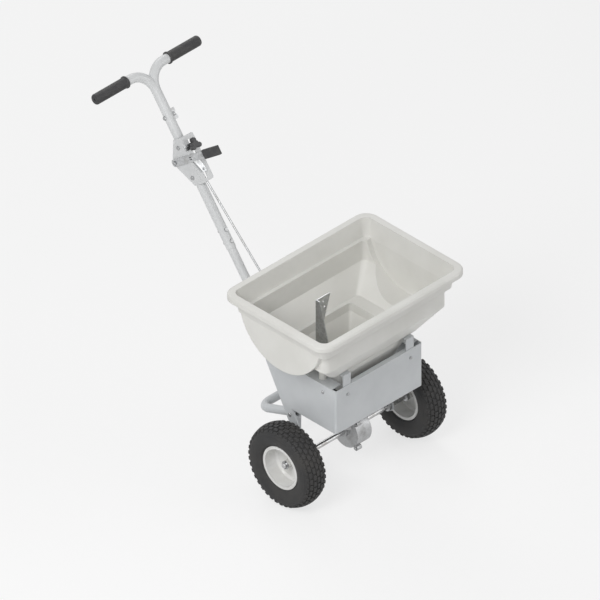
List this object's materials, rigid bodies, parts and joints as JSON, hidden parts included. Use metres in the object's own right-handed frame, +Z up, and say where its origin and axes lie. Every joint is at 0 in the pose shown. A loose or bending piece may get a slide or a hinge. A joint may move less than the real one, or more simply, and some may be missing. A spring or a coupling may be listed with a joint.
{
  "type": "broadcast spreader",
  "caption": "Walk-behind garden broadcast spreader with a moulded hopper, shrouded spinner, pneumatic wheels, tube handle and shut-off lever.",
  "frame": {"origin": "bottom centre of the bounding box, on the ground", "axes": "+X along the axle to the free wheel, +Y back to the operator, +Z up"},
  "size_m": [0.58, 1.0144, 0.9859],
  "materials": {
    "hopper_poly": "moulded polyethylene, fine texture",
    "powder_coat": "powder coat",
    "handle_coat": "powder coat",
    "plated_sheet": "zinc plated sheet",
    "plated_fastener": "zinc plated",
    "bright_steel": "turned bar",
    "case_metal": "die cast",
    "bush_nylon": "moulded nylon",
    "impeller_plastic": "moulded plastic",
    "tyre_rubber": "moulded rubber with a block tread",
    "rim_paint": "gloss paint",
    "grip_rubber": "moulded rubber",
    "knob_plastic": "moulded plastic"
  },
  "bodies": {
    "chassis": {"hopper": "hopper_poly", "shroud": "powder_coat", "side_rail_left": "powder_coat", "side_rail_right": "powder_coat", "rear_frame_tube": "powder_coat", "stand_leg": "powder_coat", "front_brackets": "powder_coat", "handle_tube": "handle_coat", "handlebar_right": "handle_coat", "handlebar_left": "handle_coat", "control_bracket": "handle_coat", "hopper_baffle": "plated_sheet", "gate_guides": "plated_sheet", "hopper_screws": "plated_fastener", "shroud_bolts": "plated_fastener", "rail_bolts": "plated_fastener", "gearbox_screws": "plated_fastener", "joint_bolts": "plated_fastener", "clamp_bolt": "plated_fastener", "wing_nut": "plated_fastener", "bracket_bolts": "plated_fastener", "lever_pivot_bolt": "plated_fastener", "gearbox_half_left": "case_metal", "gearbox_half_right": "case_metal", "axle_bush_left": "bush_nylon", "axle_bush_right": "bush_nylon", "neck_bush": "bush_nylon", "floor_bush": "bush_nylon", "grip_right": "grip_rubber", "grip_left": "grip_rubber", "stand_foot": "grip_rubber"},
    "drive_axle": {"axle": "bright_steel", "tyre_right": "tyre_rubber", "rim_right": "rim_paint", "drive_pin": "plated_fastener", "bevel_gear": "bright_steel", "gear_pin": "bright_steel", "axle_collars": "plated_fastener", "axle_washers": "plated_fastener", "axle_end_pins": "plated_fastener"},
    "free_wheel": {"tyre_left": "tyre_rubber", "rim_left": "rim_paint", "hub_bush": "bush_nylon"},
    "impeller_drive": {"impeller_shaft": "bright_steel", "bevel_pinion": "bright_steel", "impeller": "impeller_plastic", "impeller_pin": "bright_steel", "agitator": "bright_steel"},
    "lever": {"control_lever": "plated_sheet", "lever_grip": "grip_rubber", "lever_rivet": "plated_fastener"},
    "linkage": {"linkage_rod": "plated_fastener", "rod_slider": "plated_sheet"},
    "gate": {"gate_plate": "plated_sheet"},
    "rate_stop": {"stop_plate": "plated_sheet"},
    "knob": {"stop_knob": "knob_plastic"}
  },
  "joints": [
    {"name": "axle_spin", "type": "hinge", "parent": "chassis", "child": "drive_axle", "pos_m": [0, -0.31168, 0.129], "axis": [1, 0, 0], "continuous": true},
    {"name": "free_wheel_spin", "type": "hinge", "parent": "chassis", "child": "free_wheel", "pos_m": [0.2405, -0.31168, 0.129], "axis": [1, 0, 0], "continuous": true},
    {"name": "impeller_spin", "type": "hinge", "parent": "chassis", "child": "impeller_drive", "pos_m": [0, -0.31168, 0.286], "axis": [0, 0, 1], "continuous": true},
    {"name": "lever_pivot", "type": "hinge", "parent": "chassis", "child": "lever", "pos_m": [-0.01975, 0.35313, 0.7245], "axis": [-1, 0, 0], "range_deg": [-15, 8]},
    {"name": "rod_slide", "type": "slide", "parent": "chassis", "child": "linkage", "axis": [0, 0.7193, 0.6947], "range_m": [-0.02098, 0.01123]},
    {"name": "gate_slide", "type": "slide", "parent": "chassis", "child": "gate", "axis": [0, 1, 0], "range_m": [-0.01508, 0.00813]},
    {"name": "stop_slide", "type": "slide", "parent": "chassis", "child": "rate_stop", "axis": [0, 0.606, 0.7955], "range_m": [0, 0.014]},
    {"name": "knob_turn", "type": "hinge", "parent": "rate_stop", "child": "knob", "pos_m": [0.005, 0.30557, 0.7997], "axis": [0, -0.7955, 0.606], "continuous": true}
  ],
  "couplings": [
    {"joint": "impeller_spin", "follows": "axle_spin", "ratio": -2},
    {"joint": "rod_slide", "follows": "lever_pivot", "m_per_rad": 0.079},
    {"joint": "gate_slide", "follows": "lever_pivot", "m_per_rad": 0.056828}
  ]
}
